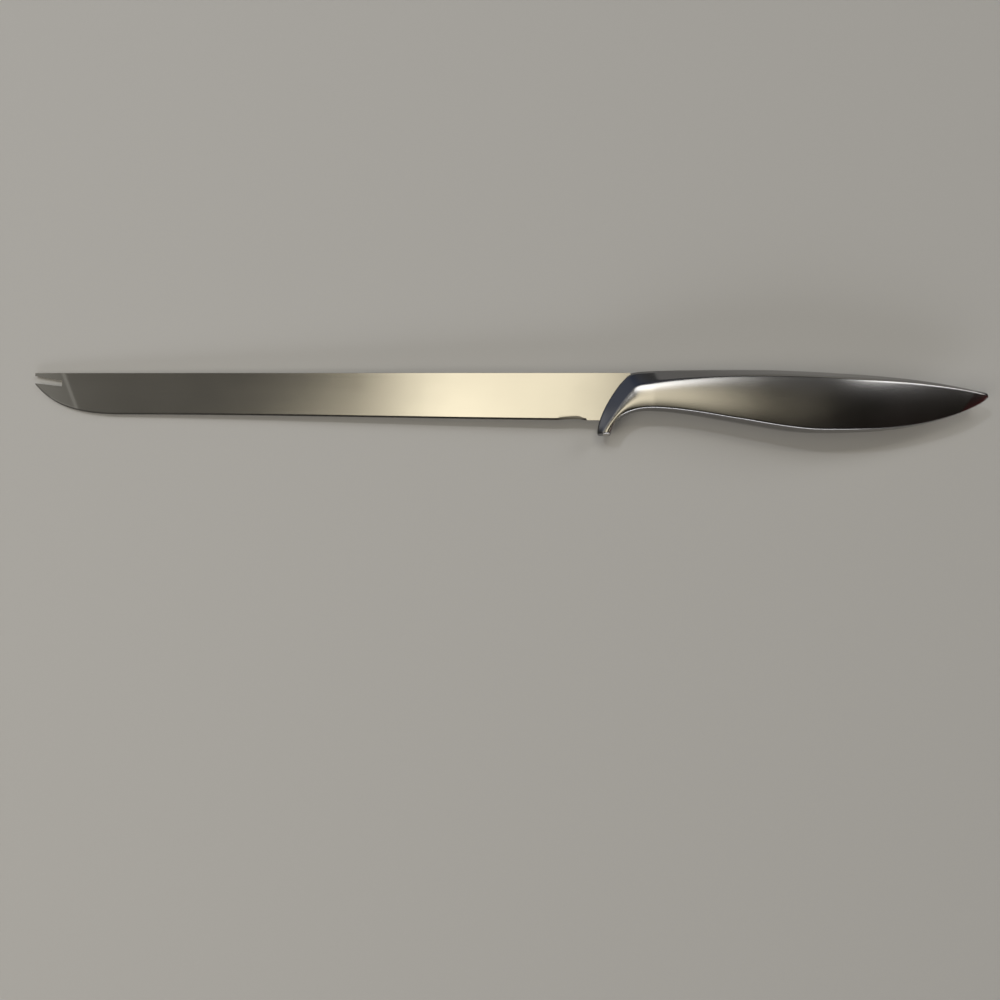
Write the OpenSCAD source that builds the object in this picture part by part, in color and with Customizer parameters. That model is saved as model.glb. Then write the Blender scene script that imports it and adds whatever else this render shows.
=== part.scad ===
// Carving knife with a forked tip and a hollow metal handle that is brazed up from two shells.
// X runs from the forked tip (-X) to the butt (+X), the cutting edge faces -Y and the knife lies
// on its side with its thickness along Z. The origin is at the middle of the underside of its box.

/* [Blade] */
// Length of the blade's back, from the fork to the handle
blade_length = 216.5; // [160:0.5:260]
// Depth of the blade at the handle
heel_depth = 17; // [16:0.1:18.5]
// Depth of the blade where its edge turns up to the tip
front_depth = 15; // [14:0.1:16]
// Length of the stretch over which the edge turns up to the tip
tip_curve_length = 32; // [26:1:44]
// Depth of the blade's forked end
tip_depth = 4.1; // [3.9:0.1:5.5]
// Thickness of the back at the handle
back_thickness = 2; // [1.8:0.1:2.6]
// Thickness of the back near the tip, before the point is ground thin
front_thickness = 1.6; // [1.4:0.1:1.8]
// Thickness behind the cutting edge at the handle
edge_thickness = 0.48; // [0.4:0.02:0.7]

/* [Point and edge] */
// Length of the thinned point along the back
point_length = 11.6; // [11:0.1:16]
// How far the thinned point reaches back further at the edge than at the back
point_slant = 5.4; // [3:0.1:8]
// Angle at which each side of the point is thinned
point_angle = 1.3; // [0.6:0.1:1.6]
// Length of the fork's slot
fork_length = 10; // [7:0.1:11]
// Width of the slot at its mouth
fork_mouth_width = 2.6; // [1.6:0.1:2.8]
// Width of the slot at its closed end
fork_end_width = 2.1; // [1.2:0.1:2.4]
// Depth of the middle of the slot's mouth below the back
fork_depth = 2.45; // [2.3:0.05:2.6]
// Angle at which the slot runs down towards the edge
fork_angle = 7.8; // [4:0.1:10]
// Height of the honed bevel at the tip
tip_bevel_height = 0.5; // [0.3:0.05:0.8]
// Height of the honed bevel near the handle
heel_bevel_height = 0.7; // [0.4:0.05:1]
// Length of the blunt heel that is left beside the handle
heel_stub = 4.6; // [3:0.1:8]
// Depth of the hollow that the sharpening wheel has worn in front of the heel
worn_depth = 0.4; // [0.2:0.05:0.8]
// Radius of that hollow
wheel_radius = 75; // [40:1:120]

/* [Tang] */
// Length of the tang behind the blade's back
tang_length = 80; // [50:1:90]
// Depth of the tang's upper edge below the blade's back, at the handle's front
tang_top = 2.6; // [2.2:0.1:3]
// Depth of the tang's lower edge below the blade's back, in the neck
tang_bottom = 10.6; // [9:0.1:11]
// Width of the tang at its end
tang_end_width = 5; // [4:0.1:6]
// Depth of the tang's end below the blade's back
tang_end_drop = 10.5; // [9:0.1:12]
// How far the blade's plate reaches into the guard
seat_depth = 3.5; // [2.5:0.1:4]
// Diameter of the two holes that key the tang into the filling
key_hole_d = 3; // [2:0.1:3.4]
// Distance of the first keying hole behind the blade's back
key_hole_x = 25; // [20:1:30]
// Distance between the keying holes
key_hole_pitch = 30; // [15:1:40]

/* [Handle outline] */
// Length of the handle behind the blade's back
handle_length = 126.5; // [118:0.5:150]
// Drop of the guard's tip below the blade's back
guard_drop = 22.6; // [21:0.1:25]
// How far the guard's tip lies ahead of the blade's back
guard_lean = 11.5; // [10:0.1:13]
// Width of the guard at its tip
guard_width = 5; // [4.6:0.1:6]
// Distance from the blade's back to the neck
neck_x = 7.5; // [6:0.1:10]
// Depth of the handle at the neck
neck_depth = 14.05; // [13.5:0.05:16]
// Distance from the blade's back to the waist, where the belly starts
waist_x = 38; // [32:0.5:44]
// Depth of the handle at the waist
waist_depth = 18.6; // [17:0.1:20]
// How far the handle's top stands above the blade's back at the waist
waist_rise = 1; // [0.6:0.1:1.6]
// Distance from the blade's back to the deepest part of the grip
grip_x = 68; // [60:0.5:76]
// Depth of the handle at the deepest part of the grip
grip_depth = 21.5; // [19:0.1:24]
// Drop of the pointed butt below the blade's back
butt_drop = 8.5; // [7.5:0.1:9.5]

/* [Handle section] */
// Thickness of the handle at the guard's tip
guard_thickness = 5.6; // [4.6:0.1:7]
// Thickness of the handle at the neck
neck_thickness = 10.6; // [9:0.1:13]
// Thickness of the grip where it is deepest
grip_thickness = 14.8; // [13:0.1:18]
// Thickness of the handle at its rear end
tail_thickness = 5.2; // [4.4:0.1:7]
// How far the broad face bulges above its bevels at the grip
grip_crown = 1.1; // [0.7:0.1:2.2]
// How far the broad face bulges at the guard's tip and at the rear end
end_crown = 0.3; // [0.1:0.1:0.8]
// Width of the upper bevel at the guard's tip
tip_bevel = 1.8; // [1.2:0.1:2.4]
// Width of the upper bevel at the corner above the blade, where it is widest
corner_bevel = 5.7; // [5:0.1:6.5]
// Width of the upper bevel along the handle's top
top_bevel = 2.7; // [2.2:0.1:3.2]
// Width of the upper bevel where the handle's rear end begins
tail_bevel = 0.8; // [0.5:0.1:1.2]
// Width of the bevel along the belly
belly_bevel = 0.5; // [0.4:0.1:0.9]
// Height of the upright strip beside the seam, on each shell
seam_land = 0.8; // [0.6:0.1:1]
// Length over which each ridge is rounded
ridge_round = 0.6; // [0.3:0.1:0.9]
// Wall of the shells
shell_wall = 0.9; // [0.7:0.1:1.2]

/* [Joining] */
// Width of the braze inside the seam
braze_width = 0.8; // [0.5:0.1:1]
// Height of the braze on each side of the seam
braze_height = 0.4; // [0.3:0.05:0.5]
// Clearance between the blade's plate and the shells
seat_gap = 0.1; // [0.05:0.05:0.2]
// Clearance round the filling
filling_gap = 0.15; // [0.05:0.05:0.3]

/* [Hidden] */
$fn = 64;
STEEL = "#b9b6ae";
HANDLE_STEEL = "#9d9c99";
BRAZE = "#c9b98c";
CEMENT = "#8f8678";

// The handle is drawn from x = 0 at the rear end of the blade's back.
overall_length = blade_length + handle_length;
middle_y = (waist_rise - guard_drop) / 2;
half_thickness = grip_thickness / 2;
tail_top = [handle_length - 5.3, 2.25 - butt_drop];
tail_bottom = [handle_length - 10.9, -6.25 - butt_drop];
nose_round = 0.3;
// Width of the upper bevel at places along the zones, and its rate of change on each stretch
BEVEL_WIDTHS = [[0, tip_bevel], [0.75, corner_bevel], [1.3, mix(top_bevel, corner_bevel, 1 / 3)],
    [2, top_bevel], [3, 0.92 * top_bevel], [4, tail_bevel], [5, tail_bevel]];
BEVEL_SLOPES = [[7, 3], [-4.5, -2.2], [-2.2, -0.3], [-0.3, -0.3], [-0.3, -1], [0, 0]];
nose_height = 0.9;
guard_cap = 1.2;
guard_corner = 0.9;
guard_cap_turns = [80, 62, 40, 18];
corner = [-1.2, -1.4];
corner_share = 0.75;

function mix(a, b, t) = a + (b - a) * t;
function bezier(p, t) = pow(1 - t, 3) * p[0] + 3 * pow(1 - t, 2) * t * p[1]
    + 3 * (1 - t) * t * t * p[2] + pow(t, 3) * p[3];
function ease(t) = t * t * (3 - 2 * t);
function steps(from, to, count) = [for (k = [1:count]) mix(from, to, k / count)];
function reverse(list) = [for (k = [len(list) - 1:-1:0]) list[k]];
// A curve from a to b that leaves a at one slope and reaches b at the other
function sloped(a, b, slope_a, slope_b) =
    let (w = (b.x - a.x) / 3) [a, a + [w, w * slope_a], b - [w, w * slope_b], b];

// Outline of the handle: the top rail and the belly rail run from the guard to the butt in five
// zones: guard, neck to waist, waist to grip, grip to tail, and the facet round the butt.
guard_top = [-guard_lean, guard_cap - guard_drop];
guard_bottom = guard_top + [guard_width, 0];
neck_top = [neck_x, neck_x / 15];
neck_bottom = neck_top - [0, neck_depth];
waist_top = [waist_x, waist_rise];
waist_bottom = waist_top - [0, waist_depth];
grip_top = [grip_x, waist_rise * 0.1];
grip_bottom = grip_top - [0, grip_depth];
front_edge = [guard_top, guard_top + [0.4, 6.2], corner - [5, 5.6], corner];
front_corner = [corner, corner + [1.5, 1.6], neck_top - [4.5, 0.2], neck_top];
finger_curve = [guard_bottom, guard_bottom + [1.7, 5], neck_bottom - [7.9, -0.1], neck_bottom];
TOP = [
    sloped(neck_top, waist_top, 0.04, 0),
    sloped(waist_top, grip_top, 0, -0.06),
    sloped(grip_top, tail_top, -0.06, -0.24),
    [tail_top, tail_top + [2.3, -0.55], [handle_length - 0.3, 1.5 - butt_drop],
        [handle_length - nose_round, 0.5 - butt_drop]]
];
BELLY = [
    sloped(neck_bottom, waist_bottom, -0.02, -0.165),
    sloped(waist_bottom, grip_bottom, -0.165, 0),
    sloped(grip_bottom, tail_bottom, 0, 0.38),
    [tail_bottom, tail_bottom + [3.8, 1.45], [handle_length - 2.3, -2.7 - butt_drop],
        [handle_length - nose_round, -0.5 - butt_drop]]
];
function guard_rail(t) = t < corner_share
    ? bezier(front_edge, t / corner_share)
    : bezier(front_corner, (t - corner_share) / (1 - corner_share));
function zone(p) = min(floor(p), 4);
function top_rail(p) = zone(p) == 0 ? guard_rail(p) : bezier(TOP[zone(p) - 1], p - zone(p));
function belly_rail(p) = zone(p) == 0 ? bezier(finger_curve, p) : bezier(BELLY[zone(p) - 1], p - zone(p));

// Half thickness and crown of the handle along the zones
function half_height(p) = p < 1 ? mix(guard_thickness, neck_thickness, pow(p, 1.3)) / 2
    : p < 3 ? mix(neck_thickness, grip_thickness, sin(45 * (p - 1))) / 2
    : p < 4 ? mix(grip_thickness, tail_thickness, ease(p - 3)) / 2
    : mix(tail_thickness / 2, nose_height, p - 4);
function crown(p) = p < 3 ? mix(end_crown, grip_crown, sin(30 * p))
    : p < 4 ? mix(grip_crown, end_crown, ease(p - 3))
    : mix(end_crown, 0, p - 4);

// Width of the upper bevel: it widens up the guard, narrows behind the corner and thins out
// towards the butt.
function bevel(p) = let (
    k = max([for (i = [0:len(BEVEL_SLOPES) - 1]) if (p >= BEVEL_WIDTHS[i].x) i]),
    a = BEVEL_WIDTHS[k],
    b = BEVEL_WIDTHS[k + 1])
    bezier(sloped(a, b, BEVEL_SLOPES[k].x, BEVEL_SLOPES[k].y), (p - a.x) / (b.x - a.x)).y;

// Half a section of the handle, between the rails at p, as points from the top rail over the
// broad face to the belly rail. side and lift draw it inwards and down, for what lies inside.
FACE_STEPS = [0.06, 0.18, 0.34, 0.5, 0.66, 0.82, 0.94];
function section(p, side = 0, lift = 0) = let (
    top = top_rail(p),
    belly = belly_rail(p),
    depth = norm(belly - top),
    across = (belly - top) / depth,
    ridge = half_height(p) - crown(p) - lift,
    land = min(seam_land, nose_height) - lift / 4,
    upper_bevel = bevel(p),
    squeeze = min(1, depth * 0.78 / (upper_bevel + belly_bevel)),
    d1 = max(upper_bevel * squeeze + 0.6 * lift, side + 0.1),
    d2 = depth - max(belly_bevel * squeeze + 0.8 * lift, side + 0.1),
    rise = 4 * crown(p) / (d2 - d1),
    r1 = min(ridge_round, (d1 - side) / 2, (d2 - d1) / 3),
    r2 = min(ridge_round, (d2 - d1) / 3),
    drop = r2 * (ridge - land) / ridge,
    profile = concat(
        [[side, 0], [side, land]],
        [for (t = [0, 0.5, 1]) let (
            a = [d1 - r1, mix(land, ridge, (d1 - r1 - side) / (d1 - side))],
            c = [d1 + r1, ridge + rise * r1 * 0.9])
            mix(mix(a, [d1, ridge], t), mix([d1, ridge], c, t), t)],
        [for (s = FACE_STEPS) let (d = mix(d1 + r1, d2 - r2, s), q = (d - d1) / (d2 - d1))
            [d, ridge + 4 * crown(p) * q * (1 - q)]],
        [for (t = [0, 0.5, 1]) let (
            a = [d2 - r2, ridge + rise * r2 * 0.9],
            c = [mix(d2, depth - side, drop / (ridge - land)), ridge - drop])
            mix(mix(a, [d2, ridge], t), mix([d2, ridge], c, t), t)],
        [[depth - side, land], [depth - side, 0]]))
    [for (q = profile) [top.x + across.x * q.x, top.y + across.y * q.x, q.y]];

// The guard's rounded tip: the first section moved outwards, narrowed and lowered
function guard_cap_row(turn) = let (
    row = section(0),
    middle = (row[0] + row[len(row) - 1]) / 2,
    narrow = 1 - 2 * guard_corner * (1 - cos(turn)) / guard_width)
    [for (q = row) [mix(middle.x, q.x, narrow), q.y - guard_cap * sin(turn), q.z * cos(turn)]];
function nose_row() = [for (q = section(5)) [q.x + nose_round, mix(-butt_drop, q.y, 0.7), q.z * 0.6]];

GUARD_STATIONS = concat([0], steps(0, corner_share, 8), steps(corner_share, 1, 5));
BODY_STATIONS = concat(steps(1, 2, 7), steps(2, 3, 6), steps(3, 4, 12));
BUTT_STATIONS = [4.06, 4.2, 4.4, 4.6, 4.8, 4.92, 5];
OUTER_STATIONS = concat(GUARD_STATIONS, BODY_STATIONS, BUTT_STATIONS);
CAVITY_FIRST = 11;
CAVITY_LAST = len(GUARD_STATIONS) + len(BODY_STATIONS) - 4;
CAVITY_STATIONS = [for (k = [CAVITY_FIRST:CAVITY_LAST]) OUTER_STATIONS[k]];

outer_rows = concat(
    [for (turn = guard_cap_turns) guard_cap_row(turn)],
    [for (p = OUTER_STATIONS) section(p)],
    [nose_row()]);
cavity_rows = [for (p = CAVITY_STATIONS) section(p, shell_wall, shell_wall)];
side_inset = shell_wall + braze_width + filling_gap;
filling_rows = [for (k = [1:len(CAVITY_STATIONS) - 2])
    section(CAVITY_STATIONS[k], side_inset, shell_wall + filling_gap)];

// Two triangles for each square of a grid of rows that starts at point number start
function grid_faces(rows, across, start, flip) = [
    for (i = [0:rows - 2], j = [0:across - 2]) let (
        a = start + i * across + j,
        b = a + across)
        each flip ? [[a, b + 1, b], [a, a + 1, b + 1]] : [[a, b, b + 1], [a, b + 1, a + 1]]
];

// One shell: the outer skin, the cavity's skin and the flat rim between them
module shell_body() {
    outer_count = len(outer_rows);
    inner_count = len(cavity_rows);
    across = len(outer_rows[0]);
    inner = outer_count * across;
    first = CAVITY_FIRST + len(guard_cap_turns);
    last = first + inner_count - 1;
    rim = [for (i = [0:inner_count - 2]) let (
        a = (first + i) * across,
        b = inner + i * across,
        edge = across - 1)
        each [
            [a, b, b + across], [a, b + across, a + across],
            [a + edge, b + across + edge, b + edge], [a + edge, a + across + edge, b + across + edge]
        ]];
    front_rim = concat(
        [for (i = [0:first]) i * across],
        [inner, inner + across - 1],
        [for (i = [first:-1:0]) i * across + across - 1]);
    rear_rim = concat(
        [for (i = [last:outer_count - 1]) i * across],
        [for (i = [outer_count - 1:-1:last]) i * across + across - 1],
        [inner + inner_count * across - 1, inner + (inner_count - 1) * across]);
    row = [for (j = [0:across - 1]) j];
    ends = [
        row,
        reverse([for (j = row) (outer_count - 1) * across + j]),
        reverse([for (j = row) inner + j]),
        [for (j = row) inner + (inner_count - 1) * across + j]
    ];
    polyhedron(
        points = concat([for (section = outer_rows) each section], [for (section = cavity_rows) each section]),
        faces = concat(
            grid_faces(outer_count, across, 0, false),
            grid_faces(inner_count, across, inner, true),
            rim, [reverse(front_rim), reverse(rear_rim)], ends),
        convexity = 6);
}

// Plan of the tang and of the part of the blade's plate that sits in the guard, grown by gap
front_line = [for (t = [0:0.1:1]) bezier(front_edge, t)];
function front_x(y) = lookup(y, [for (q = front_line) [q.y, q.x]]);
tang_end_x = tang_length - tang_end_width / 2;
module seat_plan(gap) {
    ahead = -guard_lean - 3;
    back_x = front_x(-heel_depth) + seat_depth + gap;
    end_r = tang_end_width / 2 + gap;
    polygon(concat(
        [[ahead, gap - tang_top], [neck_x, gap - tang_top - 0.5]],
        [for (turn = [80:-16:-80]) [tang_end_x, -tang_end_drop] + end_r * [cos(turn), sin(turn)]],
        [
            [neck_x + 3, -gap - tang_bottom],
            [front_x(-tang_bottom) + seat_depth + 4, -gap - tang_bottom],
            [front_x(-tang_bottom - 1.5) + seat_depth + gap, -gap - tang_bottom - 1.5],
            [back_x, -gap - heel_depth],
            [ahead, -gap - heel_depth]
        ]));
}

// The blade's flat sides: height of one side above the middle, at a point behind the blade's back
side_slope_x = (back_thickness - front_thickness) / 2 / (blade_length - point_length);
side_slope_y = (back_thickness - edge_thickness) / 2 / heel_depth;
point_start = [point_length - blade_length, 0];
point_away = [front_depth, point_slant] / norm([front_depth, point_slant]);
point_slope = tan(point_angle) * point_away + [side_slope_x, side_slope_y];
function side_height(q) = back_thickness / 2 + side_slope_x * q.x + side_slope_y * q.y;
function point_height(q) = side_height(point_start) + point_slope * (q - point_start);
function plate_height(q) = min(side_height(q), point_height(q));

// Everything above a plane through a point at a height, with the given slopes, in a plan
module above_plane(at, height, slope) {
    turn_y = -atan(slope.x);
    turn_x = atan(slope.y * cos(turn_y));
    translate([at.x, at.y, height])
        rotate([turn_x, turn_y, 0])
            linear_extrude(back_thickness)
                children();
}

// The metal that is ground off one side of the blade, down to the guard's inside
module side_grinding(gap) {
    stop = [for (q = front_line) q + [seat_depth / 3, 0]];
    above_plane([0, 0], back_thickness / 2 + gap, [side_slope_x, side_slope_y])
        polygon(concat(
            [[-blade_length - 5, 5], [stop[len(stop) - 1].x, 5]],
            reverse(stop),
            [[-blade_length - 5, -guard_drop]]));
}

// The plate and tang with their flat sides, grown by gap, before the blade's own outline
module seat_plate(gap) {
    difference() {
        linear_extrude(back_thickness + 2 * gap, center = true)
            seat_plan(gap);
        side_grinding(gap);
        mirror([0, 0, 1])
            side_grinding(gap);
    }
}

// Cutting edge, from the tip to the heel, as points behind the blade's back
tip_x = -blade_length;
heel_x = front_x(-heel_depth);
worn_end = heel_x - heel_stub;
worn_middle = worn_end - 3;
worn_half = sqrt(2 * wheel_radius * worn_depth);
worn_start = worn_middle - worn_half;
turn_depth = front_depth - tip_depth;
tip_curve = [
    [tip_x, -tip_depth],
    [tip_x + 0.16 * tip_curve_length, -tip_depth - 0.5 * turn_depth],
    [tip_x + 0.34 * tip_curve_length, -front_depth],
    [tip_x + tip_curve_length, -front_depth]
];
long_start = tip_x + tip_curve_length;
function long_edge(x) = -front_depth
    - (heel_depth - front_depth) * bezier([0, 0, 0.8, 1], (x - long_start) / (heel_x - long_start));
function worn(x) = x <= worn_start ? 0
    : sqrt(pow(wheel_radius, 2) - pow(x - worn_middle, 2)) - wheel_radius + worn_depth;
edge_points = concat(
    [for (t = [0:1 / 18:1]) bezier(tip_curve, t)],
    [for (x = steps(long_start, worn_start, 9)) [x, long_edge(x)]],
    [for (x = steps(worn_start, worn_end, 8)) [x, long_edge(x) + worn(x)]]);

// The wedge that honing takes off one side of the edge
land_half = 0.03;
function bevel_height(q) = mix(tip_bevel_height, heel_bevel_height, (q.x - tip_x) / (heel_x - tip_x))
    + worn(q.x);
function edge_run(k) = let (
    a = edge_points[max(k - 1, 0)],
    b = edge_points[min(k + 1, len(edge_points) - 1)])
    (b - a) / norm(b - a);
function honing_ring(k) = let (
    run = edge_run(k),
    inward = [-run.y, run.x],
    q = edge_points[k],
    at = q + inward * bevel_height(q),
    slope = (plate_height(at) - land_half) / bevel_height(q),
    out = -0.6,
    in = 1.8 * bevel_height(q),
    start = k == 0 ? -run * 2 : [0, 0])
    [for (s = [[out, land_half + out * slope], [in, land_half + in * slope],
            [in, back_thickness], [out, back_thickness]])
        concat(q + inward * s.x + start, s.y)];
module honing() {
    rings = [for (k = [0:len(edge_points) - 1]) each honing_ring(k)];
    count = len(edge_points);
    polyhedron(
        points = rings,
        faces = concat(
            [[0, 1, 2, 3]],
            [for (k = [0:count - 2], j = [0:3]) let (
                a = 4 * k + j,
                b = 4 * k + (j + 1) % 4)
                each [[a, b + 4, b], [a, a + 4, b + 4]]],
            [[for (j = [3:-1:0]) 4 * (count - 1) + j]]),
        convexity = 4);
}

// Plan of the blade ahead of the handle. Its back ends in a shoulder that stops at the handle.
tip_lean = 0.3;
module blade_plan() {
    shoulder = concat(
        [for (t = [1:-0.25:0]) bezier(front_corner, t * 0.3) - [3 * seat_gap, 0]],
        [[front_x(-tang_top) - 3 * seat_gap, -tang_top]]);
    polygon(concat(
        [[tip_x + tip_lean, 0], [shoulder[0].x, 0]],
        [for (q = shoulder) if (q.y < 0) q],
        [[front_x(-tang_top), -tang_top], [heel_x, -heel_depth], [worn_end, -heel_depth]],
        reverse(edge_points)));
}
module fork_slot() {
    past = 3;
    widen = (fork_mouth_width - fork_end_width) / fork_length * past;
    translate([tip_x + tip_lean, -fork_depth, 0])
        rotate(-fork_angle)
            linear_extrude(2 * back_thickness, center = true)
                polygon([
                    [-past, (fork_mouth_width + widen) / 2],
                    [fork_length, fork_end_width / 2],
                    [fork_length, -fork_end_width / 2],
                    [-past, -(fork_mouth_width + widen) / 2]
                ]);
}
module key_holes(radius) {
    for (k = [0, 1])
        translate([key_hole_x + k * key_hole_pitch, key_hole_y(k), -back_thickness])
            cylinder(r = radius, h = 2 * back_thickness);
}
function key_hole_y(k) = mix(-(tang_top + tang_bottom) / 2, -tang_end_drop,
    (key_hole_x + k * key_hole_pitch - neck_x) / (tang_end_x - neck_x));

// Moves the knife from the blade's back to the frame of the part
module placed() {
    translate([blade_length - overall_length / 2, -middle_y, half_thickness])
        children();
}

module blade() {
    color(STEEL)
        placed()
            difference() {
                linear_extrude(back_thickness, center = true)
                    union() {
                        blade_plan();
                        seat_plan(0);
                    }
                for (side = [0, 1])
                    mirror([0, 0, side]) {
                        side_grinding(0);
                        above_plane(point_start, side_height(point_start), point_slope)
                            translate([-point_length - 5, -guard_drop])
                                square([point_length + 25, 2 * guard_drop]);
                        honing();
                    }
                fork_slot();
                key_holes(key_hole_d / 2);
            }
}
module left_handle_shell() {
    color(HANDLE_STEEL)
        placed()
            difference() {
                shell_body();
                seat_plate(seat_gap);
            }
}
module right_handle_shell() {
    color(HANDLE_STEEL)
        placed()
            mirror([0, 0, 1])
                difference() {
                    shell_body();
                    seat_plate(seat_gap);
                }
}
module seam_braze() {
    rails = [for (inset = [shell_wall, shell_wall + braze_width])
        [for (p = CAVITY_STATIONS) section(p, inset, shell_wall)]];
    count = len(CAVITY_STATIONS);
    across = len(rails[0][0]) - 1;
    outside = rails[0];
    inside = rails[1];
    color(BRAZE)
        placed()
            linear_extrude(2 * braze_height, center = true)
                polygon([for (q = concat(
                    [for (k = [0:count - 1]) outside[k][0]],
                    [for (k = [count - 1:-1:0]) outside[k][across]],
                    [for (k = [0:count - 2]) inside[k][across]],
                    [for (k = [count - 2:-1:0]) inside[k][0]])) [q.x, q.y]]);
}
module handle_filling() {
    across = len(filling_rows[0]);
    count = len(filling_rows);
    // Each ring runs over the upper half and back under the lower half.
    rings = [for (row = filling_rows)
        concat(row, [for (j = [across - 2:-1:1]) [row[j].x, row[j].y, -row[j].z]])];
    around = 2 * across - 2;
    // Each end is closed by strips between the upper points and those below them.
    function end_faces(start) = [
        for (j = [0:across - 2]) let (
            a = start + j,
            b = a + 1,
            below_a = start + (around - j) % around,
            below_b = start + around - j - 1,
            corner_b = j == across - 2 ? b : below_b)
            each concat(
                j < across - 2 ? [[a, b, corner_b]] : [],
                j > 0 ? [[a, corner_b, below_a]] : [])
    ];
    sides = [for (i = [0:count - 2], j = [0:around - 1]) let (
        a = i * around + j,
        b = i * around + (j + 1) % around)
        each [[a, b + around, b], [a, a + around, b + around]]];
    color(CEMENT)
        placed() {
            difference() {
                polyhedron(
                    points = [for (ring = rings) each ring],
                    faces = concat(
                        end_faces(0),
                        sides,
                        [for (face = end_faces((count - 1) * around)) reverse(face)]),
                    convexity = 4);
                seat_plate(filling_gap / 3);
            }
            key_holes(key_hole_d / 2 - filling_gap / 3);
        }
}

blade();
left_handle_shell();
right_handle_shell();
seam_braze();
handle_filling();
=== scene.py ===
import math

import bmesh
import bpy
from bpy.props import FloatProperty, FloatVectorProperty, PointerProperty
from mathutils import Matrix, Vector


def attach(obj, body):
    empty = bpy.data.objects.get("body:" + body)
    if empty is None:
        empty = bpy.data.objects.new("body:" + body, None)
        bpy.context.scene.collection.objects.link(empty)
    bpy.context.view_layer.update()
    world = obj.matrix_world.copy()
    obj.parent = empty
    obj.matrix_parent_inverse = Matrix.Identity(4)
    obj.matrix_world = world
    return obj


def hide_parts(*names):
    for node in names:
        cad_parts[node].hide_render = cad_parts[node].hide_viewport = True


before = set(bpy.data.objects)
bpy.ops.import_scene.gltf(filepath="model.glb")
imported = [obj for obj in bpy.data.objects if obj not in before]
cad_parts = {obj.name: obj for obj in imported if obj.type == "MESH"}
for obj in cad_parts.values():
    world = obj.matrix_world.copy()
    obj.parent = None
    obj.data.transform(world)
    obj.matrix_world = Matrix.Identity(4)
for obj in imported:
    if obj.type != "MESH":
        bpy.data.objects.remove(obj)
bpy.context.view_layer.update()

bl_info = {
    "name": "Carving knife",
    "version": (1, 0, 0),
    "blender": (4, 5, 0),
    "location": "View3D > Sidebar > Knife",
    "description": "Builds a carving knife with a forked tip and a hollow steel handle",
    "category": "Object",
}

MM = 0.001

# Sizes in millimetres, as in the part's source. x = 0 is the rear end of the blade's back.
BLADE_LENGTH = 216.5
HANDLE_LENGTH = 126.5
OVERALL = BLADE_LENGTH + HANDLE_LENGTH
GUARD_DROP = 22.6
WAIST_RISE = 1.0
MIDDLE_Y = (WAIST_RISE - GUARD_DROP) / 2
HALF_THICKNESS = 7.4


def placed(x, y, z):
    """A point of the knife, from millimetres behind the blade's back to the part's frame."""
    return Vector(((x + BLADE_LENGTH - OVERALL / 2) * MM, (y - MIDDLE_Y) * MM, (z + HALF_THICKNESS) * MM))


def mix(a, b, t):
    if isinstance(a, (tuple, list)):
        return tuple(p + (q - p) * t for p, q in zip(a, b))
    return a + (b - a) * t


def bezier(p, t):
    u = 1 - t
    weights = (u ** 3, 3 * u * u * t, 3 * u * t * t, t ** 3)
    if isinstance(p[0], (tuple, list)):
        return tuple(sum(w * q[k] for w, q in zip(weights, p)) for k in range(len(p[0])))
    return sum(w * q for w, q in zip(weights, p))


def sloped(a, b, slope_a, slope_b):
    w = (b[0] - a[0]) / 3
    return [a, (a[0] + w, a[1] + w * slope_a), (b[0] - w, b[1] - w * slope_b), b]


def add(a, b):
    return tuple(p + q for p, q in zip(a, b))


def ease(t):
    return t * t * (3 - 2 * t)


# Handle: rails, thickness and section
GUARD_CAP = 1.2
GUARD_CORNER = 0.9
GUARD_WIDTH = 5.0
BUTT_DROP = 8.5
NOSE_ROUND = 0.3
NOSE_HEIGHT = 0.9
CORNER_SHARE = 0.75
CORNER = (-1.2, -1.4)
GUARD_TOP = (-11.5, GUARD_CAP - GUARD_DROP)
GUARD_BOTTOM = add(GUARD_TOP, (GUARD_WIDTH, 0))
NECK_TOP = (7.5, 0.5)
NECK_BOTTOM = add(NECK_TOP, (0, -14.05))
WAIST_TOP = (38.0, WAIST_RISE)
WAIST_BOTTOM = add(WAIST_TOP, (0, -18.6))
GRIP_TOP = (68.0, 0.1)
GRIP_BOTTOM = add(GRIP_TOP, (0, -21.5))
TAIL_TOP = (HANDLE_LENGTH - 5.3, 2.25 - BUTT_DROP)
TAIL_BOTTOM = (HANDLE_LENGTH - 10.9, -6.25 - BUTT_DROP)
FRONT_EDGE = [GUARD_TOP, add(GUARD_TOP, (0.4, 6.2)), add(CORNER, (-5, -5.6)), CORNER]
FRONT_CORNER = [CORNER, add(CORNER, (1.5, 1.6)), add(NECK_TOP, (-4.5, -0.2)), NECK_TOP]
FINGER_CURVE = [GUARD_BOTTOM, add(GUARD_BOTTOM, (1.7, 5)), add(NECK_BOTTOM, (-7.9, 0.1)), NECK_BOTTOM]
TOP = [
    sloped(NECK_TOP, WAIST_TOP, 0.04, 0),
    sloped(WAIST_TOP, GRIP_TOP, 0, -0.06),
    sloped(GRIP_TOP, TAIL_TOP, -0.06, -0.24),
    [TAIL_TOP, add(TAIL_TOP, (2.3, -0.55)), (HANDLE_LENGTH - 0.3, 1.5 - BUTT_DROP),
     (HANDLE_LENGTH - NOSE_ROUND, 0.5 - BUTT_DROP)],
]
BELLY = [
    sloped(NECK_BOTTOM, WAIST_BOTTOM, -0.02, -0.165),
    sloped(WAIST_BOTTOM, GRIP_BOTTOM, -0.165, 0),
    sloped(GRIP_BOTTOM, TAIL_BOTTOM, 0, 0.38),
    [TAIL_BOTTOM, add(TAIL_BOTTOM, (3.8, 1.45)), (HANDLE_LENGTH - 2.3, -2.7 - BUTT_DROP),
     (HANDLE_LENGTH - NOSE_ROUND, -0.5 - BUTT_DROP)],
]
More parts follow.
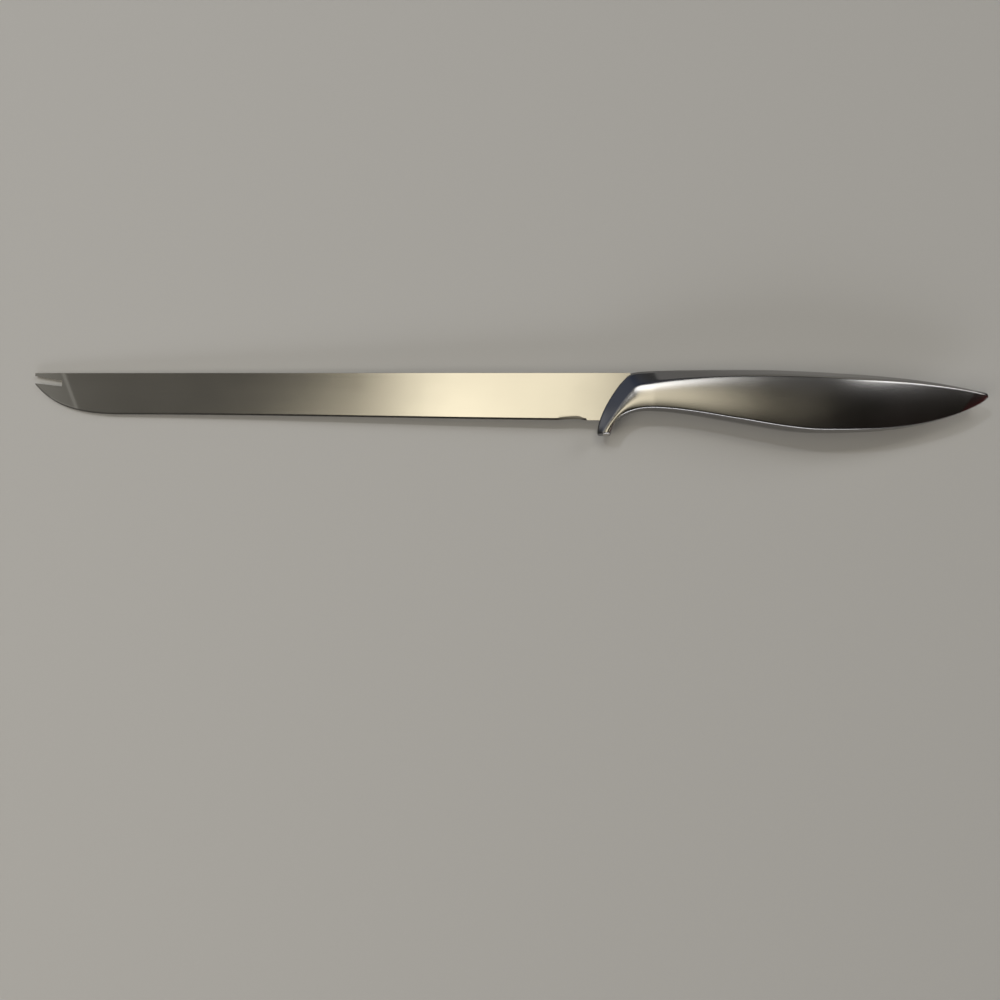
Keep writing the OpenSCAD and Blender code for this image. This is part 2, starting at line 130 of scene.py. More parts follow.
# Width of the upper bevel at places along the handle, with its rate of change there
BEVEL_WIDTHS = [(0, 1.8), (0.75, 5.7), (1.3, 3.7), (2.0, 2.7), (3.0, 2.5), (4.0, 0.8), (5.0, 0.8)]
BEVEL_SLOPES = [(7, 3), (-4.5, -2.2), (-2.2, -0.3), (-0.3, -0.3), (-0.3, -1), (0, 0)]
BELLY_BEVEL = 0.5
SEAM_LAND = 0.8
END_CROWN = 0.3
GRIP_CROWN = 1.1
RIDGE_ROUND = 0.6


def guard_rail(t):
    if t < CORNER_SHARE:
        return bezier(FRONT_EDGE, t / CORNER_SHARE)
    return bezier(FRONT_CORNER, (t - CORNER_SHARE) / (1 - CORNER_SHARE))


def rail(chain, first, p):
    zone = min(int(p), 4)
    return first(p) if zone == 0 else bezier(chain[zone - 1], p - zone)


def half_height(p):
    if p < 1:
        return mix(5.6, 10.6, p ** 1.3) / 2
    if p < 3:
        return mix(10.6, 14.8, math.sin(math.radians(45 * (p - 1)))) / 2
    if p < 4:
        return mix(14.8, 5.2, ease(p - 3)) / 2
    return mix(2.6, NOSE_HEIGHT, p - 4)


def crown(p):
    if p < 3:
        return mix(END_CROWN, GRIP_CROWN, math.sin(math.radians(30 * p)))
    if p < 4:
        return mix(GRIP_CROWN, END_CROWN, ease(p - 3))
    return mix(END_CROWN, 0, p - 4)


def bevel(p):
    """Width of the upper bevel: widest at the corner above the blade, thin at the butt."""
    k = max(i for i in range(len(BEVEL_SLOPES)) if p >= BEVEL_WIDTHS[i][0])
    a, b = BEVEL_WIDTHS[k:k + 2]
    return bezier(sloped(a, b, *BEVEL_SLOPES[k]), (p - a[0]) / (b[0] - a[0]))[1]


# Points across half a section: on the seam's land, on each bevel, round a ridge and on the face
LAND_POINTS = 3
BEVEL_POINTS = 4
FACE_STEPS = 40
ROUND_STEPS = 6
# Rows along the handle, and the turns in degrees of the rounded ends
ZONE_ROWS = (60, 24, 24, 60, 30)
GUARD_CAP_TURNS = (88, 84, 78, 70, 60, 50, 40, 30, 20, 10)
NOSE_TURNS = (25, 45, 65, 85)


def section(p):
    """Half a section of the handle, from the top rail over the broad face to the belly rail."""
    top = rail(TOP, guard_rail, p)
    belly = rail(BELLY, lambda t: bezier(FINGER_CURVE, t), p)
    depth = math.dist(top, belly)
    across = ((belly[0] - top[0]) / depth, (belly[1] - top[1]) / depth)
    ridge = half_height(p) - crown(p)
    land = min(SEAM_LAND, NOSE_HEIGHT)
    upper = bevel(p)
    squeeze = min(1, depth * 0.78 / (upper + BELLY_BEVEL))
    d1 = upper * squeeze
    d2 = depth - BELLY_BEVEL * squeeze
    rise = 4 * crown(p) / (d2 - d1)
    r1 = min(RIDGE_ROUND, d1 / 2, (d2 - d1) / 3)
    r2 = min(RIDGE_ROUND, (d2 - d1) / 3)
    drop = r2 * (ridge - land) / ridge
    profile = [(0, 0), (0, land * 0.5), (0, land)]
    a = (d1 - r1, mix(land, ridge, (d1 - r1) / d1))
    c = (d1 + r1, ridge + rise * r1 * 0.9)
    for k in range(1, BEVEL_POINTS + 1):
        profile.append(mix((0, land), a, k / (BEVEL_POINTS + 1)))
    for k in range(ROUND_STEPS + 1):
        t = k / ROUND_STEPS
        profile.append(mix(mix(a, (d1, ridge), t), mix((d1, ridge), c, t), t))
    for k in range(1, FACE_STEPS):
        d = mix(d1 + r1, d2 - r2, k / FACE_STEPS)
        q = (d - d1) / (d2 - d1)
        profile.append((d, ridge + 4 * crown(p) * q * (1 - q)))
    a = (d2 - r2, ridge + rise * r2 * 0.9)
    c = (mix(d2, depth, drop / (ridge - land)), ridge - drop)
    for k in range(ROUND_STEPS + 1):
        t = k / ROUND_STEPS
        profile.append(mix(mix(a, (d2, ridge), t), mix((d2, ridge), c, t), t))
    for k in range(1, BEVEL_POINTS + 1):
        profile.append(mix(c, (depth, land), k / (BEVEL_POINTS + 1)))
    profile += [(depth, land), (depth, land * 0.5), (depth, 0)]
    return [(top[0] + across[0] * d, top[1] + across[1] * d, z) for d, z in profile]


def guard_cap_row(turn):
    row = section(0)
    middle = mix(row[0], row[-1], 0.5)
    angle = math.radians(turn)
    narrow = 1 - 2 * GUARD_CORNER * (1 - math.cos(angle)) / GUARD_WIDTH
    return [(mix(middle[0], q[0], narrow), q[1] - GUARD_CAP * math.sin(angle), q[2] * math.cos(angle))
            for q in row]


def nose_row(turn):
    angle = math.radians(turn)
    return [(q[0] + NOSE_ROUND * math.sin(angle), mix(-BUTT_DROP, q[1], mix(1, 0.7, math.sin(angle))),
             q[2] * math.cos(angle)) for q in section(5)]


# Blade: flat sides, thinned point and edge
TIP_X = -BLADE_LENGTH
HEEL_DEPTH = 17.0
FRONT_DEPTH = 15.0
TIP_DEPTH = 4.1
TIP_CURVE = 32.0
BACK_THICKNESS = 2.0
POINT_LENGTH = 11.6
SIDE_SLOPE_X = 0.2 / (BLADE_LENGTH - POINT_LENGTH)
SIDE_SLOPE_Y = (BACK_THICKNESS - 0.48) / 2 / HEEL_DEPTH
POINT_ANGLE = 1.3
POINT_STEP = 0.045
POINT_STEP_WIDTH = 1.5
POINT_AWAY = (15 / math.hypot(15, 5.4), 5.4 / math.hypot(15, 5.4))
HEEL_X = -10.8
HEEL_STUB = 4.6
WORN_DEPTH = 0.4
WHEEL_RADIUS = 75.0
WORN_END = HEEL_X - HEEL_STUB
WORN_MIDDLE = WORN_END - 3
WORN_START = WORN_MIDDLE - math.sqrt(2 * WHEEL_RADIUS * WORN_DEPTH)
TIP_POINTS = [
    (TIP_X, -TIP_DEPTH),
    (TIP_X + 0.16 * TIP_CURVE, -TIP_DEPTH - 0.5 * (FRONT_DEPTH - TIP_DEPTH)),
    (TIP_X + 0.34 * TIP_CURVE, -FRONT_DEPTH),
    (TIP_X + TIP_CURVE, -FRONT_DEPTH),
]
LAND_HALF = 0.03
SEAT_DEPTH = 3.0
FORK_LENGTH = 10.0
FORK_MOUTH = 2.6
FORK_END = 2.1
FORK_DEPTH = 2.45
FORK_ANGLE = 7.8


def side_height(x, y):
    return BACK_THICKNESS / 2 + SIDE_SLOPE_X * x + SIDE_SLOPE_Y * y


def plate_height(x, y):
    """Half thickness of the blade, blended over the thinned point's boundary."""
    start = POINT_LENGTH - BLADE_LENGTH
    away = (x - start) * POINT_AWAY[0] + y * POINT_AWAY[1]
    soft = 1.2
    ahead = (math.sqrt(away * away + soft * soft) - away) / 2
    step = POINT_STEP * ease(min(1, max(0, -away / POINT_STEP_WIDTH)))
    return side_height(x, y) - math.tan(math.radians(POINT_ANGLE)) * ahead - step


def long_edge(x):
    start = TIP_X + TIP_CURVE
    t = (x - start) / (HEEL_X - start)
    return -FRONT_DEPTH - (HEEL_DEPTH - FRONT_DEPTH) * bezier((0, 0, 0.8, 1), t)


def worn(x):
    if x <= WORN_START or x >= WORN_END:
        return 0
    if x < WORN_MIDDLE:
        return math.sqrt(WHEEL_RADIUS ** 2 - (x - WORN_MIDDLE) ** 2) - WHEEL_RADIUS + WORN_DEPTH
    return WORN_DEPTH * (1 - ease((x - WORN_MIDDLE) / (WORN_END - WORN_MIDDLE)))


def front_y(x):
    """Height of the handle's front edge at x, searched along its curve."""
    low, high = 0.0, 1.0
    for _ in range(40):
        middle = (low + high) / 2
        if bezier(FRONT_EDGE, middle)[0] < x:
            low = middle
        else:
            high = middle
    return max(-HEEL_DEPTH, bezier(FRONT_EDGE, low)[1])


def edge_stations():
    """Points of the cutting edge from the tip to the heel, with the height of the honed bevel."""
    points = [bezier(TIP_POINTS, k / 80) for k in range(81)]
    x = points[-1][0]
    while x < WORN_START:
        x += 1.5
        points.append((x, long_edge(x)))
    steps = 24
    points += [(mix(x, WORN_END - 0.05, k / steps), 0) for k in range(1, steps + 1)]
    points = [(q[0], q[1] or long_edge(q[0]) + worn(q[0])) for q in points]
    stations = [(q, mix(0.5, 0.7, (q[0] - TIP_X) / (HEEL_X - TIP_X)) + worn(q[0])) for q in points]
    stub = [WORN_END + 0.25, HEEL_X - 1, HEEL_X, HEEL_X + 2]
    stations += [((x, long_edge(min(x, HEEL_X))), 0.04) for x in stub]
    # Inside the guard the plate's rear edge follows the handle's front edge.
    last_x = stations[-1][0][0]
    seat = [(mix(last_x, 0.2, k / 12), 0) for k in range(1, 13)]
    return stations + [((x, front_y(x - SEAT_DEPTH)), 0.04) for x, _ in seat]


def piece(name, vertices, faces, materials, indices=None, smooth=True):
    """A mesh object at the origin, its points already in the part's frame."""
    mesh = bpy.data.meshes.new(name)
    mesh.from_pydata([placed(*v) for v in vertices], [], faces)
    for material in materials:
        mesh.materials.append(material)
    for k, face in enumerate(mesh.polygons):
        face.use_smooth = smooth
        if indices:
            face.material_index = indices[k]
    mesh.validate()
    mesh.update()
    obj = bpy.data.objects.new(name, mesh)
    bpy.context.scene.collection.objects.link(obj)
    return obj


def recalculated(obj, sharp_degrees):
    """Merges doubles, turns faces outwards and marks edges past an angle as sharp."""
    mesh = bmesh.new()
    mesh.from_mesh(obj.data)
    bmesh.ops.remove_doubles(mesh, verts=mesh.verts, dist=1e-7)
    bmesh.ops.recalc_face_normals(mesh, faces=mesh.faces)
    for edge in mesh.edges:
        if len(edge.link_faces) == 2 and edge.calc_face_angle(0) > math.radians(sharp_degrees):
            edge.smooth = False
    mesh.to_mesh(obj.data)
    mesh.free()
    return obj


def linear(hex_colour):
    """sRGB hex to the linear colour that a shader socket takes."""
    parts = [int(hex_colour[k:k + 2], 16) / 255 for k in (1, 3, 5)]
    return tuple(c / 12.92 if c <= 0.04045 else ((c + 0.055) / 1.055) ** 2.4 for c in parts) + (1.0,)


def node(tree, kind, settings=None, **links):
    """Adds a node; a setting is an attribute or a socket's value, a link is a socket to read."""
    made = tree.nodes.new(kind)
    for key, value in (settings or {}).items():
        if isinstance(key, int) or key in made.inputs:
            made.inputs[key].default_value = value
        else:
            setattr(made, key, value)
    for key, source in links.items():
        tree.links.new(source, made.inputs[key.replace("_", " ")])
    return made


def new_material(name):
    material = bpy.data.materials.new(name)
    material.use_nodes = True
    material.node_tree.nodes.clear()
    return material, material.node_tree


def steel(name, colour, rough_low, rough_high, grain_mm, grain_bump, turn=0.0):
    """Ground stainless steel: long fine grain, faint cloudiness and a few hairline scratches."""
    material, tree = new_material(name)
    place = node(tree, "ShaderNodeTexCoord").outputs["Object"]
    fine = 1 / (grain_mm * MM)
    along = node(tree, "ShaderNodeMapping", {"Rotation": (0, 0, turn), "Scale": (12, fine, fine)},
                 Vector=place)
    grain = node(tree, "ShaderNodeTexNoise", {"Scale": 1.0, "Detail": 4.0, "Roughness": 0.6},
                 Vector=along.outputs["Vector"])
    cloud = node(tree, "ShaderNodeTexNoise", {"Scale": 60.0, "Detail": 3.0}, Vector=place)
    both = node(tree, "ShaderNodeMath", {"operation": "ADD"})
    tree.links.new(grain.outputs["Fac"], both.inputs[0])
    tree.links.new(cloud.outputs["Fac"], both.inputs[1])
    rough = node(tree, "ShaderNodeMapRange", {"From Min": 0.6, "From Max": 1.4, "To Min": rough_low,
                                              "To Max": rough_high}, Value=both.outputs["Value"])
    tint = node(tree, "ShaderNodeMapRange", {"From Min": 0.3, "From Max": 0.7, "To Min": 0.94,
                                             "To Max": 1.0}, Value=grain.outputs["Fac"])
    shade = node(tree, "ShaderNodeMix", {"data_type": "RGBA", "blend_type": "MULTIPLY", "Factor": 1.0})
    shade.inputs[6].default_value = (*colour, 1.0)
    tree.links.new(tint.outputs["Result"], shade.inputs[7])
    askew = node(tree, "ShaderNodeMapping", {"Rotation": (0, 0, 0.5), "Scale": (40, 900, 900)}, Vector=place)
    scratch = node(tree, "ShaderNodeTexNoise", {"Scale": 1.0, "Detail": 2.0}, Vector=askew.outputs["Vector"])
    hair = node(tree, "ShaderNodeMapRange", {"From Min": 0.7, "From Max": 0.76, "To Min": 0.0, "To Max": 1.0},
                Value=scratch.outputs["Fac"])
    height = node(tree, "ShaderNodeMath", {"operation": "SUBTRACT"})
    tree.links.new(grain.outputs["Fac"], height.inputs[0])
    tree.links.new(hair.outputs["Result"], height.inputs[1])
    bump = node(tree, "ShaderNodeBump", {"Strength": grain_bump, "Distance": 0.00002},
                Height=height.outputs["Value"])
    shader = node(tree, "ShaderNodeBsdfPrincipled", {"Metallic": 1.0}, Normal=bump.outputs["Normal"],
                  Roughness=rough.outputs["Result"])
    tree.links.new(shade.outputs[2], shader.inputs["Base Color"])
    node(tree, "ShaderNodeOutputMaterial", Surface=shader.outputs["BSDF"])
    return material


def rough_solid(name, dark, light, roughness, scale_mm, bump_mm):
    """A dull mineral or braze surface, mottled and slightly rough."""
    material, tree = new_material(name)
    place = node(tree, "ShaderNodeTexCoord").outputs["Object"]
    spots = node(tree, "ShaderNodeTexNoise", {"Scale": 1 / (scale_mm * MM), "Detail": 5.0}, Vector=place)
    shade = node(tree, "ShaderNodeMix", {"data_type": "RGBA"})
    tree.links.new(spots.outputs["Fac"], shade.inputs[0])
    shade.inputs[6].default_value = linear(dark)
    shade.inputs[7].default_value = linear(light)
    bump = node(tree, "ShaderNodeBump", {"Strength": 0.6, "Distance": bump_mm * MM},
                Height=spots.outputs["Fac"])
    shader = node(tree, "ShaderNodeBsdfPrincipled", {"Roughness": roughness}, Normal=bump.outputs["Normal"])
    tree.links.new(shade.outputs[2], shader.inputs["Base Color"])
    node(tree, "ShaderNodeOutputMaterial", Surface=shader.outputs["BSDF"])
    return material


# The room around the knife, as directions: middle, spread, softness of the edge, colour, strength
ROOM_GLOWS = [
    ((0.0, 0.0, 1.0), (9.0, 9.0, 9.0), 0.5, "#b6a896", 0.015),
    ((-0.005, 0.12, 1.0), (0.16, 0.42, 0.6), 0.4, "#fff6de", 1.55),
    ((-0.17, -0.03, 0.98), (0.14, 0.1, 0.5), 0.5, "#fff6de", 0.55),
    ((-0.75, 0.1, 0.65), (0.6, 0.9, 0.6), 0.5, "#c9c6be", 0.2),
    ((-0.78, 0.05, 0.62), (0.22, 0.5, 0.5), 0.15, "#d8d8d6", 0.3),
    ((-0.12, 0.56, 0.82), (0.28, 0.15, 0.3), 0.4, "#f8faff", 3.2),
    ((0.72, 0.5, 0.45), (0.28, 0.13, 0.2), 0.4, "#f8faff", 4.5),
    ((-0.6, 0.72, 0.3), (0.7, 0.4, 0.4), 0.5, "#6f7c98", 0.45),
    ((0.0, 1.0, 0.08), (1.0, 0.6, 0.22), 0.5, "#a3a19c", 0.26),
    ((0.2, -0.93, 0.3), (0.9, 0.2, 0.14), 0.5, "#f4f6ff", 3.4),
    ((0.95, -0.15, 0.2), (0.35, 0.4, 0.3), 0.5, "#7c1c26", 0.35),
]


# Lamps over the paper, aimed at the knife: name, place in metres, width, watts, colour
LAMPS = [
    ("right_lamp", (0.25, 0.5, 1.0), 0.06, 0.6, "#fff8ec"),
    ("left_lamp", (-0.5, 0.45, 0.9), 0.06, 1.7, "#f0f4ff"),
    ("ceiling", (-0.55, -0.35, 0.8), 0.5, 2.0, "#fff8ee"),
]
# Where the belly touches the paper and how far the tip hangs below that height
BELLY_REST_X = 0.113
TIP_FALL = 0.0067
FLOOR_GAP = 0.0001
CAMERA_FOOT = (-0.0014, -0.0349)
CAMERA_TURN = math.radians(0.22)


class KNIFE_PG_sizes(bpy.types.PropertyGroup):
    """Colours of the steel and sizes of the stage"""
    blade_colour: FloatVectorProperty(name="Blade steel", description="Colour of the ground blade steel",
                                      default=linear("#c9c6bf")[:3], subtype="COLOR", size=3, min=0, max=1)
    # Darker than the blade steel: painted shade for the dark line of the honed edge; its rougher grind is
    # real
    painted_dark_honed_colour: FloatVectorProperty(name="Honed edge", description="Colour of the honed cutting edge",
                                      default=linear("#8c8984")[:3], subtype="COLOR", size=3, min=0, max=1)
    handle_colour: FloatVectorProperty(name="Handle steel", description="Colour of the handle's broad faces",
                                       default=linear("#bdbab4")[:3], subtype="COLOR", size=3, min=0, max=1)
    # Darker than the handle's face steel: painted shade that darkens the polished bevels and the butt's nose
    painted_dark_bevel_colour: FloatVectorProperty(name="Bevel steel",
                                      description="Colour of the handle's polished bevels",
                                      default=linear("#8d8d8f")[:3], subtype="COLOR", size=3, min=0, max=1)
    floor_size: FloatProperty(name="Floor", description="Width of the floor", default=3.0, unit="LENGTH")
    camera_height: FloatProperty(name="Camera height", description="Height of the camera over the floor",
                                 default=0.265, unit="LENGTH")


class KNIFE_OT_blade(bpy.types.Operator):
    """Builds the ground blade with its fork, honed edge and tang"""
    bl_idname = "knife.blade"
    bl_label = "Blade"

    def execute(self, context):
        sizes = context.scene.knife_sizes
        flats = 20
        vertices, faces, indices = [], [], []
        stations = edge_stations()
        ring = None
        for (x, y), bevel in stations:
            back_x = max(x, TIP_X + 0.3)
            half = plate_height(back_x, 0)
            side = [(back_x, 0, 0), (back_x, 0, half - 0.12), (back_x, -0.12, half)]
            shoulder = y + bevel
            for k in range(1, flats + 1):
                q = (mix(back_x, x, k / flats), mix(-0.12, shoulder, k / flats))
                side.append((q[0], q[1], plate_height(*q)))
            land = LAND_HALF if bevel > 0.1 else plate_height(x, y) - 0.05
            side += [(x, y, land)]
            loop = side + [(q[0], q[1], -q[2]) for q in reversed(side[1:])]
            start = len(vertices)
            vertices += loop
            if ring is not None:
                count = len(loop)
                for j in range(count):
                    n = (j + 1) % count
                    faces.append((ring + j, ring + n, start + n, start + j))
                    honed = len(side) - 2 <= j <= count - len(side) + 1
                    indices.append(1 if honed else 0)
            else:
                faces.append(tuple(range(len(loop) - 1, -1, -1)))
                indices.append(0)
            ring = start
            last = len(loop)
        faces.append(tuple(range(ring, ring + last)))
        indices.append(0)
        # Fine satin steel: a soft mirror with lengthwise grain; the edge is duller and cross-ground, and its
        # darker colour is painted shade for the dark line along the edge.
        satin = steel("satin_blade_steel", sizes.blade_colour, 0.12, 0.19, 0.12, 0.15)
        honed = steel("honed_edge_steel_painted_dark", sizes.painted_dark_honed_colour, 0.2, 0.32, 0.06, 0.35, 1.57)
        blade = piece("ground_blade", vertices, faces, [satin, honed], indices)
        recalculated(blade, 14)
        cutter = self.fork_cutter()
        cut = blade.modifiers.new("fork", "BOOLEAN")
        cut.operation = "DIFFERENCE"
        cut.solver = "EXACT"
        cut.object = cutter
        evaluated = blade.evaluated_get(context.evaluated_depsgraph_get())
        mesh = bpy.data.meshes.new_from_object(evaluated)
        blade.modifiers.clear()
        blade.data = mesh
        bpy.data.objects.remove(cutter)
        recalculated(blade, 14)
        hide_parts("blade")
        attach(blade, "root")
        tang = self.tang(satin)
        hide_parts("blade")
        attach(tang, "root")
        return {"FINISHED"}

    def fork_cutter(self):
        past = 3.0
        widen = (FORK_MOUTH - FORK_END) / FORK_LENGTH * past
        plan = [(-past, (FORK_MOUTH + widen) / 2), (FORK_LENGTH, FORK_END / 2), (FORK_LENGTH, -FORK_END / 2),
                (-past, -(FORK_MOUTH + widen) / 2)]
        angle = math.radians(-FORK_ANGLE)
        turned = [(TIP_X + 0.3 + x * math.cos(angle) - y * math.sin(angle),
                   -FORK_DEPTH + x * math.sin(angle) + y * math.cos(angle)) for x, y in plan]
        vertices = [(x, y, z) for z in (-3, 3) for x, y in turned]
        faces = [(0, 1, 2, 3), (7, 6, 5, 4)] + [(k, k + 4, (k + 1) % 4 + 4, (k + 1) % 4) for k in range(4)]
        cutter = piece("fork_cutter", vertices, faces, [], smooth=False)
        return recalculated(cutter, 30)

    def tang(self, material):
        end_x, end_y, end_r = 77.5, -10.5, 2.5
        plan = [(-0.8, -3.4), (7.5, -3.1)]
        plan += [(end_x + end_r * math.cos(math.radians(a)), end_y + end_r * math.sin(math.radians(a)))
                 for a in range(80, -81, -8)]
        plan += [(10.5, -10.6), (-0.9, -10.6), (-5.4, -12.1), (-7.3, -16.9), (-8.4, -16.9), (-5.2, -9.6)]
        half = BACK_THICKNESS / 2
        count = len(plan)
        vertices = [(x, y, z) for z in (-half, half) for x, y in plan]
        faces = [tuple(range(count)), tuple(range(2 * count - 1, count - 1, -1))]
        faces += [(k, k + count, (k + 1) % count + count, (k + 1) % count) for k in range(count)]
        return recalculated(piece("tang", vertices, faces, [material], smooth=False), 30)


def shell_loft_tree():
    """Raises the plan of a half-shell to its height and gives its broad face and bevels their steel."""
    tree = bpy.data.node_groups.new("shell_loft", "GeometryNodeTree")
    sockets = tree.interface
    sockets.new_socket("Geometry", in_out="OUTPUT", socket_type="NodeSocketGeometry")
    sockets.new_socket("Geometry", in_out="INPUT", socket_type="NodeSocketGeometry")
    for name, kind in (("Side", "Float"), ("Thickness", "Float"), ("Broad face", "Material"),
                       ("Bevels", "Material")):
        sockets.new_socket(name, in_out="INPUT", socket_type="NodeSocket" + kind)
    given = node(tree, "NodeGroupInput").outputs
    height = node(tree, "GeometryNodeInputNamedAttribute", {"data_type": "FLOAT", "Name": "height"})
    side = node(tree, "ShaderNodeMath", {"operation": "MULTIPLY"})
    tree.links.new(height.outputs["Attribute"], side.inputs[0])
    tree.links.new(given["Side"], side.inputs[1])
    thick = node(tree, "ShaderNodeMath", {"operation": "MULTIPLY"})
    tree.links.new(side.outputs["Value"], thick.inputs[0])
    tree.links.new(given["Thickness"], thick.inputs[1])
    rise = node(tree, "ShaderNodeCombineXYZ", Z=thick.outputs["Value"])
    raised = node(tree, "GeometryNodeSetPosition", Geometry=given["Geometry"], Offset=rise.outputs["Vector"])
    broad = node(tree, "GeometryNodeInputNamedAttribute", {"data_type": "BOOLEAN", "Name": "broad"})
    real = node(tree, "GeometryNodeRealizeInstances", Geometry=raised.outputs["Geometry"])
    bevels = node(tree, "GeometryNodeSetMaterial", Geometry=real.outputs["Geometry"],
                  Material=given["Bevels"])
    faces = node(tree, "GeometryNodeSetMaterial", Geometry=bevels.outputs["Geometry"],
                 Material=given["Broad face"], Selection=broad.outputs["Attribute"])
    node(tree, "NodeGroupOutput", Geometry=faces.outputs["Geometry"])
    return tree


class KNIFE_OT_handle(bpy.types.Operator):
    """Builds the two handle shells with their bevels, crowned faces and pointed butt"""
    bl_idname = "knife.handle"
    bl_label = "Handle"

    def execute(self, context):
        sizes = context.scene.knife_sizes
        stations = [0.0]
        for zone, count in enumerate(ZONE_ROWS):
            stations += [zone + k / count for k in range(1, count + 1)]
        rows = [guard_cap_row(turn) for turn in GUARD_CAP_TURNS]
        rows += [section(p) for p in stations]
        rows += [nose_row(turn) for turn in NOSE_TURNS]
        # A satin face that shows a brushed, dimmed picture of the room
        satin = steel("satin_handle_steel", sizes.handle_colour, 0.2, 0.27, 0.15, 0.12)
        # Polished bevels that show it sharp; their colour, darker than the face's, is painted shade for the
        # dark bevels
        polished = steel("polished_bevel_steel_painted_dark", sizes.painted_dark_bevel_colour, 0.08, 0.12, 0.3, 0.05)
        tree = shell_loft_tree()
        across = len(rows[0])
        face_first = LAND_POINTS + BEVEL_POINTS + ROUND_STEPS // 2
        face_last = across - face_first - 1
        for side, name in ((1, "left_handle_shell"), (-1, "right_handle_shell")):
            plan = [(q[0], q[1], 0) for row in rows for q in row]
            faces, broad = [], []
            for i in range(len(rows) - 1):
                for j in range(across - 1):
                    a = i * across + j
                    quad = (a, a + across, a + across + 1, a + 1)
                    faces.append(quad if side > 0 else quad[::-1])
                    # Off the broad face, and on the butt's nose, the faces take the bevel steel with its
                    # painted dark colour
                    broad.append(face_first <= j < face_last and i < len(rows) - len(NOSE_TURNS) - 1)
            shell = piece(name + "_skin", plan, faces, [])
            heights = shell.data.attributes.new("height", "FLOAT", "POINT")
            heights.data.foreach_set("value", [q[2] * MM for row in rows for q in row])
            shell.data.attributes.new("broad", "BOOLEAN", "FACE").data.foreach_set("value", broad)
            self.loft(context, shell, tree, {"Side": float(side), "Thickness": 1.0, "Broad face": satin,
                                             "Bevels": polished})
            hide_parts(name)
            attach(shell, "root")
        return {"FINISHED"}

    def loft(self, context, shell, tree, inputs):
        modifier = shell.modifiers.new("loft", "NODES")
        modifier.node_group = tree
        for item in tree.interface.items_tree:
            if item.name in inputs:
                modifier[item.identifier] = inputs[item.name]
        evaluated = shell.evaluated_get(context.evaluated_depsgraph_get())
        mesh = bpy.data.meshes.new_from_object(evaluated)
        shell.modifiers.clear()
        shell.data = mesh


class KNIFE_OT_inside(bpy.types.Operator):
    """Gives the braze and the filling inside the handle their finish"""
    bl_idname = "knife.inside"
    bl_label = "Inside"

    def execute(self, context):
        # Braze: a dull pale yellow metal. Cement: a grey-brown crumbly mineral.
        finishes = {
            "seam_braze": rough_solid("silver_braze", "#a08f5c", "#d2c391", 0.45, 0.8, 0.03),
            "handle_filling": rough_solid("cutlers_cement", "#5b5148", "#8d8274", 0.9, 0.6, 0.08),
        }
        for name, material in finishes.items():
            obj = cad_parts[name]
            obj = obj if hasattr(obj, "data") else bpy.data.objects[name]
            obj.data.materials.clear()
            obj.data.materials.append(material)
        return {"FINISHED"}


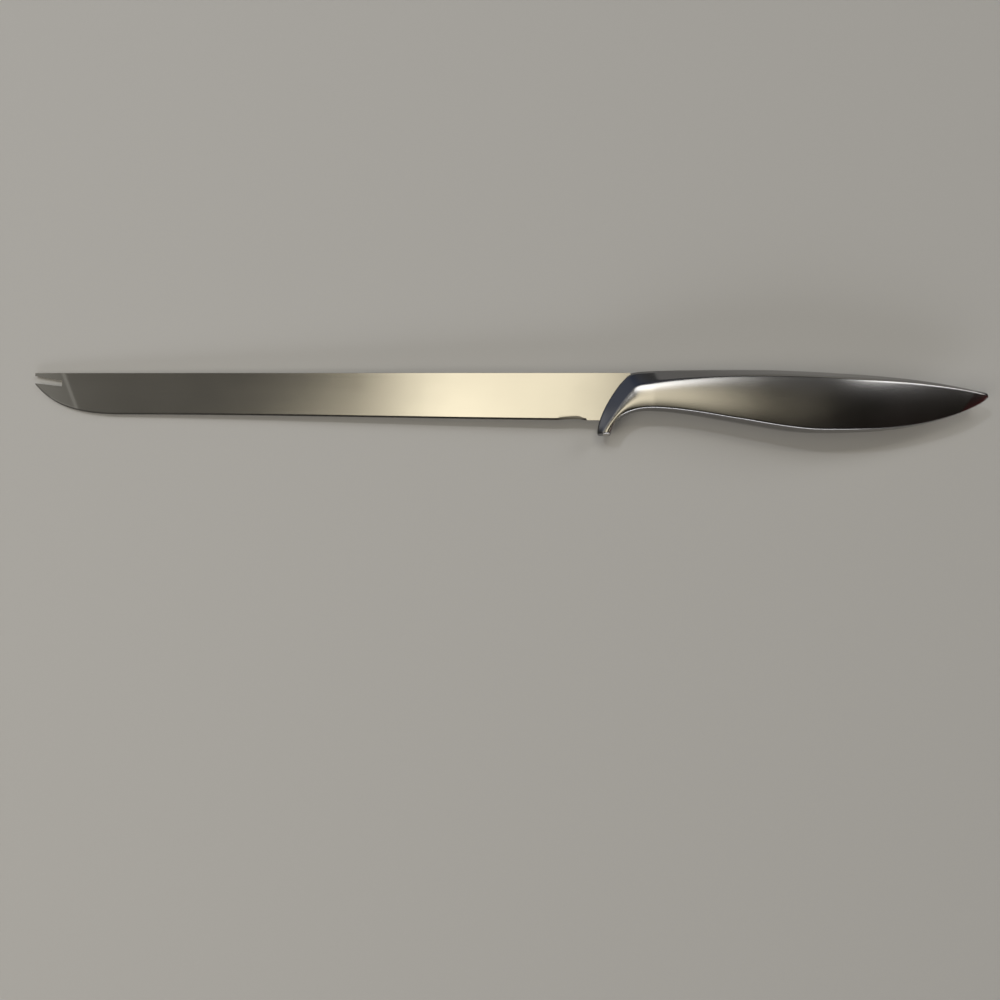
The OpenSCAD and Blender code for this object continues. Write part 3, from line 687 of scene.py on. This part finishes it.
class KNIFE_OT_stage(bpy.types.Operator):
    """Sets up the paper floor, the lamps and the camera"""
    bl_idname = "knife.stage"
    bl_label = "Stage"

    def execute(self, context):
        sizes = context.scene.knife_sizes
        # The knife lies on its belly and its tip, so the floor leans a little in the part's frame.
        lean = math.atan2(TIP_FALL, BELLY_REST_X + OVERALL / 2 * MM)
        normal = Vector((math.sin(lean), 0, math.cos(lean)))
        foot = Vector((*CAMERA_FOOT, 0))
        foot.z = (BELLY_REST_X - foot.x) * math.tan(lean)
        half = sizes.floor_size / 2
        corners = [(-half, -half), (half, -half), (half, half), (-half, half)]
        mesh = bpy.data.meshes.new("paper_floor")
        heights = [(BELLY_REST_X - x) * math.tan(lean) - FLOOR_GAP for x, _ in corners]
        mesh.from_pydata([(x, y, z) for (x, y), z in zip(corners, heights)], [], [(0, 1, 2, 3)])
        floor = bpy.data.objects.new("paper_floor", mesh)
        context.scene.collection.objects.link(floor)
        # Matt paper: even and pale, so that only the shadow shows on it
        mesh.materials.append(rough_solid("grey_paper", "#bab8b2", "#bfbdb7", 0.9, 0.3, 0.01))

        context.scene.world = self.room()
        for lamp in LAMPS:
            self.lamp(*lamp)

        camera_data = bpy.data.cameras.new("camera")
        camera_data.sensor_width = 36.0
        camera_data.lens = 26.0
        camera_data.clip_start = 0.01
        camera = bpy.data.objects.new("camera", camera_data)
        camera.location = foot + normal * sizes.camera_height
        camera.rotation_euler = (0, lean, CAMERA_TURN)
        context.scene.collection.objects.link(camera)
        context.scene.camera = camera
        context.scene.view_settings.view_transform = "Standard"
        return {"FINISHED"}

    def room(self):
        """The room that the steel reflects: dark walls, one round ceiling glow and a few soft patches."""
        world = bpy.data.worlds.new("room")
        world.use_nodes = True
        tree = world.node_tree
        tree.nodes.clear()
        direction = node(tree, "ShaderNodeTexCoord").outputs["Generated"]
        total = None
        for at, spread, soft, colour, strength in ROOM_GLOWS:
            patch = {"vector_type": "TEXTURE", "Location": at, "Scale": spread}
            place = node(tree, "ShaderNodeMapping", patch, Vector=direction)
            away = node(tree, "ShaderNodeVectorMath", {"operation": "LENGTH"})
            tree.links.new(place.outputs["Vector"], away.inputs[0])
            mask = node(tree, "ShaderNodeMapRange", {
                "interpolation_type": "SMOOTHSTEP", "From Min": 1 + soft, "From Max": 1 - soft,
                "To Min": 0.0, "To Max": strength}, Value=away.outputs["Value"])
            glow = node(tree, "ShaderNodeVectorMath", {"operation": "SCALE", 0: linear(colour)[:3]},
                        Scale=mask.outputs["Result"])
            if total:
                both = node(tree, "ShaderNodeVectorMath", {"operation": "ADD"})
                tree.links.new(total, both.inputs[0])
                tree.links.new(glow.outputs["Vector"], both.inputs[1])
                total = both.outputs["Vector"]
            else:
                total = glow.outputs["Vector"]
        background = node(tree, "ShaderNodeBackground", {"Strength": 1.0}, Color=total)
        node(tree, "ShaderNodeOutputWorld", Surface=background.outputs["Background"])
        return world

    def lamp(self, name, at, size, power, colour):
        data = bpy.data.lights.new(name, "AREA")
        data.shape = "DISK"
        data.size = size
        data.energy = power
        data.color = linear(colour)[:3]
        obj = bpy.data.objects.new(name, data)
        obj.location = at
        obj.rotation_euler = (Vector((0, 0, 0)) - Vector(at)).to_track_quat("-Z", "Y").to_euler()
        obj.visible_camera = False
        obj.visible_glossy = False
        bpy.context.scene.collection.objects.link(obj)


class KNIFE_PT_panel(bpy.types.Panel):
    """Lists the knife's pieces and sizes"""
    bl_label = "Carving knife"
    bl_idname = "KNIFE_PT_panel"
    bl_space_type = "VIEW_3D"
    bl_region_type = "UI"
    bl_category = "Knife"

    def draw(self, context):
        sizes = context.scene.knife_sizes
        for name in KNIFE_PG_sizes.__annotations__:
            self.layout.prop(sizes, name)
        for operator in ("knife.blade", "knife.handle", "knife.inside", "knife.stage"):
            self.layout.operator(operator)


CLASSES = (KNIFE_PG_sizes, KNIFE_OT_blade, KNIFE_OT_handle, KNIFE_OT_inside, KNIFE_OT_stage, KNIFE_PT_panel)


def register():
    for cls in CLASSES:
        bpy.utils.register_class(cls)
    bpy.types.Scene.knife_sizes = PointerProperty(type=KNIFE_PG_sizes)


def unregister():
    del bpy.types.Scene.knife_sizes
    for cls in reversed(CLASSES):
        bpy.utils.unregister_class(cls)


def main():
    register()
    bpy.ops.knife.stage()
    bpy.ops.knife.blade()
    bpy.ops.knife.handle()
    bpy.ops.knife.inside()


if __name__ == "__main__":
    main()
